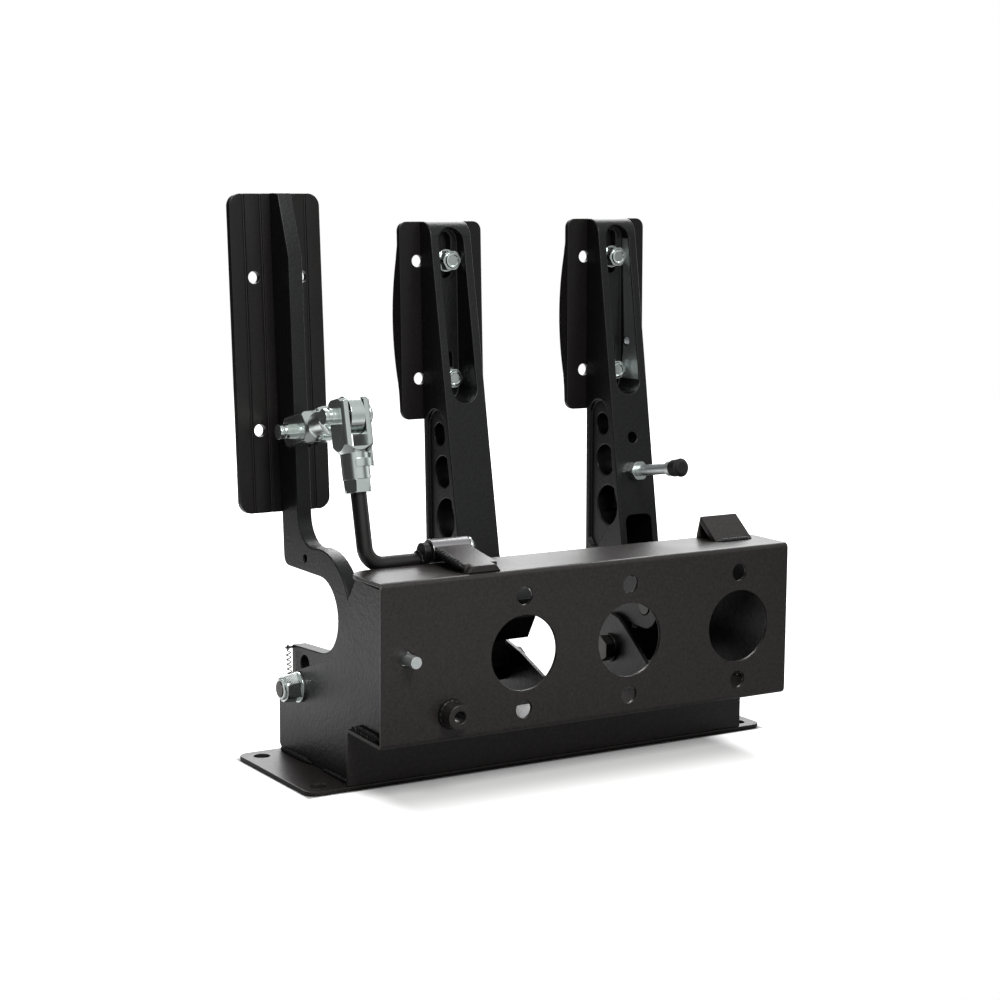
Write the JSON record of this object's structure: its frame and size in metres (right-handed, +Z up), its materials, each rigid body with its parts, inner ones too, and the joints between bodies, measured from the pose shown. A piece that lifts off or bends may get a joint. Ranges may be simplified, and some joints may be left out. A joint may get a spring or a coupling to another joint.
{
  "type": "pedal box",
  "caption": "Floor-mounted pedal box: folded steel frame with throttle, brake and clutch pedals on a common pivot axis and a bell-crank throttle linkage.",
  "frame": {"origin": "centre of the four floor holes, on the underside of the base plate", "axes": "+Z up, +Y towards the driver, +X along the pivot axis from the throttle to the clutch"},
  "size_m": [0.2782, 0.1546, 0.2905],
  "materials": {
    "powder_coat": "fine textured black powder coat",
    "arm_black": "textured black coat on machined arms",
    "pad_black": "satin black coat on formed pads",
    "dark_steel": "blackened steel",
    "zinc": "bright zinc plate",
    "rubber": "moulded black rubber"
  },
  "bodies": {
    "frame": {"base_plate": "powder_coat", "front_channel": "powder_coat", "left_side_plate": "powder_coat", "right_side_plate": "powder_coat", "brake_bracket_left": "powder_coat", "brake_bracket_right": "powder_coat", "clutch_bracket": "powder_coat", "clutch_stop_bracket": "powder_coat", "linkage_saddle": "powder_coat", "cable_boss": "powder_coat", "throttle_stop_screw": "zinc", "throttle_stop_nuts": "zinc", "throttle_pivot_bolt": "zinc", "brake_pivot_bolt": "zinc", "clutch_pivot_bolt": "zinc", "pivot_nuts": "zinc", "pivot_washers": "zinc", "linkage_tube": "dark_steel", "throttle_sleeve": "dark_steel", "brake_sleeve": "dark_steel", "clutch_sleeve": "dark_steel", "clutch_spacer": "dark_steel", "spring_peg_low": "dark_steel", "throttle_spring": "zinc"},
    "throttle": {"throttle_arm": "arm_black", "throttle_pad": "pad_black", "throttle_pad_screws": "zinc", "spring_peg_high": "dark_steel"},
    "link": {"link_fork": "zinc", "link_pin_bolt": "zinc", "link_clip": "zinc", "link_eye": "zinc", "link_lock_nut": "zinc"},
    "lever": {"lever_rod": "dark_steel", "lever_fork": "zinc", "lever_pin": "zinc", "lever_clip": "zinc", "lever_lock_nut": "zinc", "lever_crank": "dark_steel", "shaft_clip": "zinc"},
    "brake": {"brake_arm": "arm_black", "brake_pad": "pad_black", "brake_pad_bolts": "zinc", "brake_pad_washers": "zinc", "brake_pad_nuts": "zinc", "balance_tube": "dark_steel"},
    "clutch": {"clutch_arm": "arm_black", "clutch_pad": "pad_black", "clutch_pad_bolts": "zinc", "clutch_pad_washers": "zinc", "clutch_pad_nuts": "zinc", "clutch_stop_bolt": "zinc", "clutch_stop_nut": "zinc", "clutch_stop_tip": "rubber", "clutch_pin": "zinc"}
  },
  "joints": [
    {"name": "throttle_pivot", "type": "hinge", "parent": "frame", "child": "throttle", "pos_m": [-0.10275, 0.01815, 0.04], "axis": [1, 0, 0], "range_deg": [0, 14], "stiffness_Nm_per_rad": 2, "springref_deg": -17.19, "deforming": ["throttle_spring"]},
    {"name": "link_pivot", "type": "hinge", "parent": "throttle", "child": "link", "pos_m": [-0.10275, 0.0339, 0.1701], "axis": [1, 0, 0], "range_deg": [-17, 0]},
    {"name": "lever_pivot", "type": "hinge", "parent": "frame", "child": "lever", "pos_m": [-0.058, -0.03635, 0.115], "axis": [1, 0, 0], "range_deg": [0, 26]},
    {"name": "brake_pivot", "type": "hinge", "parent": "frame", "child": "brake", "pos_m": [-0.00825, 0.01815, 0.04], "axis": [1, 0, 0], "range_deg": [0, 20]},
    {"name": "clutch_pivot", "type": "hinge", "parent": "frame", "child": "clutch", "pos_m": [0.0945, 0.01815, 0.04], "axis": [1, 0, 0], "range_deg": [0, 20]}
  ],
  "couplings": [
    {"joint": "link_pivot", "follows": "throttle_pivot", "ratio": -1.2},
    {"joint": "lever_pivot", "follows": "throttle_pivot", "ratio": 1.835}
  ]
}
